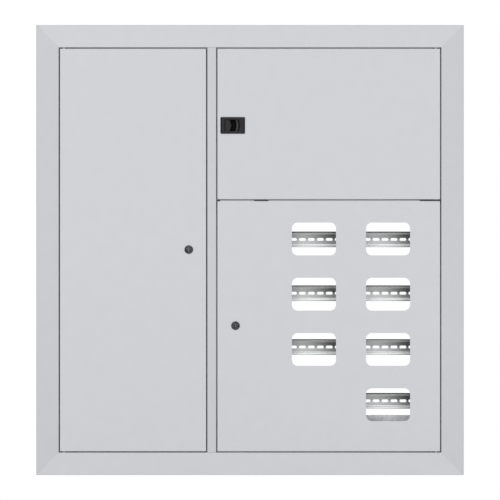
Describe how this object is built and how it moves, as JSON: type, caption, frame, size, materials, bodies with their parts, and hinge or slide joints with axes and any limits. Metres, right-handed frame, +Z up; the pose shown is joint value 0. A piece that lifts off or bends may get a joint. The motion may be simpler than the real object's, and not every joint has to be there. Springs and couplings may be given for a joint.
{
  "type": "floor distribution board",
  "caption": "Recessed steel distribution board with a wide frame, three doors on pins, device windows over top-hat rails, cam locks and a flush paddle latch.",
  "frame": {"origin": "centre of the four wall fixing holes, in the rear plane of the body", "axes": "+X to the right seen from the front, +Y into the wall, +Z up"},
  "size_m": [0.95, 0.152, 1],
  "materials": {
    "powder_coat": "light grey powder coat, satin",
    "galvanised": "galvanised sheet",
    "plated_steel": "zinc plated",
    "spring_steel": "bare spring wire",
    "terminal_brass": "plain brass",
    "dark_chrome": "dark chrome on die-cast zinc",
    "black_plastic": "fine-textured black",
    "buffer_rubber": "plain",
    "insulator_plastic": "red-brown, moulded"
  },
  "bodies": {
    "root": {"door_frame": "powder_coat", "left_side_wall": "galvanised", "right_side_wall": "galvanised", "top_wall": "galvanised", "bottom_wall": "galvanised", "partition": "galvanised", "divider_rail": "powder_coat", "middle_hinge_plate": "powder_coat", "door_rest_plate": "powder_coat", "hinge_pins": "plated_steel", "door_buffers": "buffer_rubber", "body_earth_stud": "terminal_brass", "lower_cross_rail": "galvanised", "upper_cross_rail": "galvanised", "rail_posts": "galvanised", "short_din_rails": "galvanised", "long_din_rails": "galvanised", "rail_brackets": "galvanised", "bar_rail": "galvanised", "bar_insulators": "insulator_plastic", "neutral_bar": "terminal_brass", "earth_bar": "terminal_brass", "mounting_plate": "galvanised"},
    "left_door": {"left_door": "powder_coat", "left_door_pivots": "plated_steel", "left_door_earth_stud": "terminal_brass", "left_lock_barrel": "dark_chrome", "left_lock_nut": "plated_steel"},
    "left_lock": {"left_lock_plug": "dark_chrome", "left_lock_cam": "plated_steel", "left_lock_cam_screw": "plated_steel"},
    "lower_door": {"lower_door": "powder_coat", "lower_door_pivots": "plated_steel", "lower_door_earth_stud": "terminal_brass", "lower_lock_barrel": "dark_chrome", "lower_lock_nut": "plated_steel"},
    "lower_lock": {"lower_lock_plug": "dark_chrome", "lower_lock_cam": "plated_steel", "lower_lock_cam_screw": "plated_steel"},
    "upper_door": {"upper_door": "powder_coat", "upper_door_pivots": "plated_steel", "upper_door_earth_stud": "terminal_brass", "latch_housing": "black_plastic", "latch_pin": "plated_steel", "latch_cover": "plated_steel", "latch_clamp": "plated_steel", "latch_spring": "spring_steel"},
    "latch_paddle": {"latch_paddle": "black_plastic"},
    "latch_bolt": {"latch_bolt": "plated_steel"}
  },
  "joints": [
    {"name": "left_door_hinge", "type": "hinge", "parent": "root", "child": "left_door", "pos_m": [-0.4135, -0.144, 0], "axis": [0, 0, -1], "range_deg": [0, 115]},
    {"name": "left_lock_turn", "type": "hinge", "parent": "left_door", "child": "left_lock", "pos_m": [-0.136, -0.15, 0.0009], "axis": [0, -1, 0], "range_deg": [0, 90]},
    {"name": "lower_door_hinge", "type": "hinge", "parent": "root", "child": "lower_door", "pos_m": [0.4135, -0.144, -0.168], "axis": [0, 0, 1], "range_deg": [0, 115]},
    {"name": "lower_lock_turn", "type": "hinge", "parent": "lower_door", "child": "lower_lock", "pos_m": [-0.0322, -0.15, -0.1682], "axis": [0, 1, 0], "range_deg": [0, 90]},
    {"name": "upper_door_hinge", "type": "hinge", "parent": "root", "child": "upper_door", "pos_m": [0.4135, -0.144, 0.28], "axis": [0, 0, 1], "range_deg": [0, 115]},
    {"name": "latch_paddle_pull", "type": "hinge", "parent": "upper_door", "child": "latch_paddle", "pos_m": [-0.0521, -0.146, 0.2768], "axis": [0, 0, -1], "range_deg": [0, 25]},
    {"name": "latch_bolt_slide", "type": "slide", "parent": "upper_door", "child": "latch_bolt", "axis": [1, 0, 0], "range_m": [0, 0.0085], "stiffness_N_per_m": 250, "springref_m": -0.004, "deforming": ["latch_spring"]}
  ],
  "couplings": [
    {"joint": "latch_paddle_pull", "follows": "latch_bolt_slide", "rad_per_m": 51.111}
  ]
}
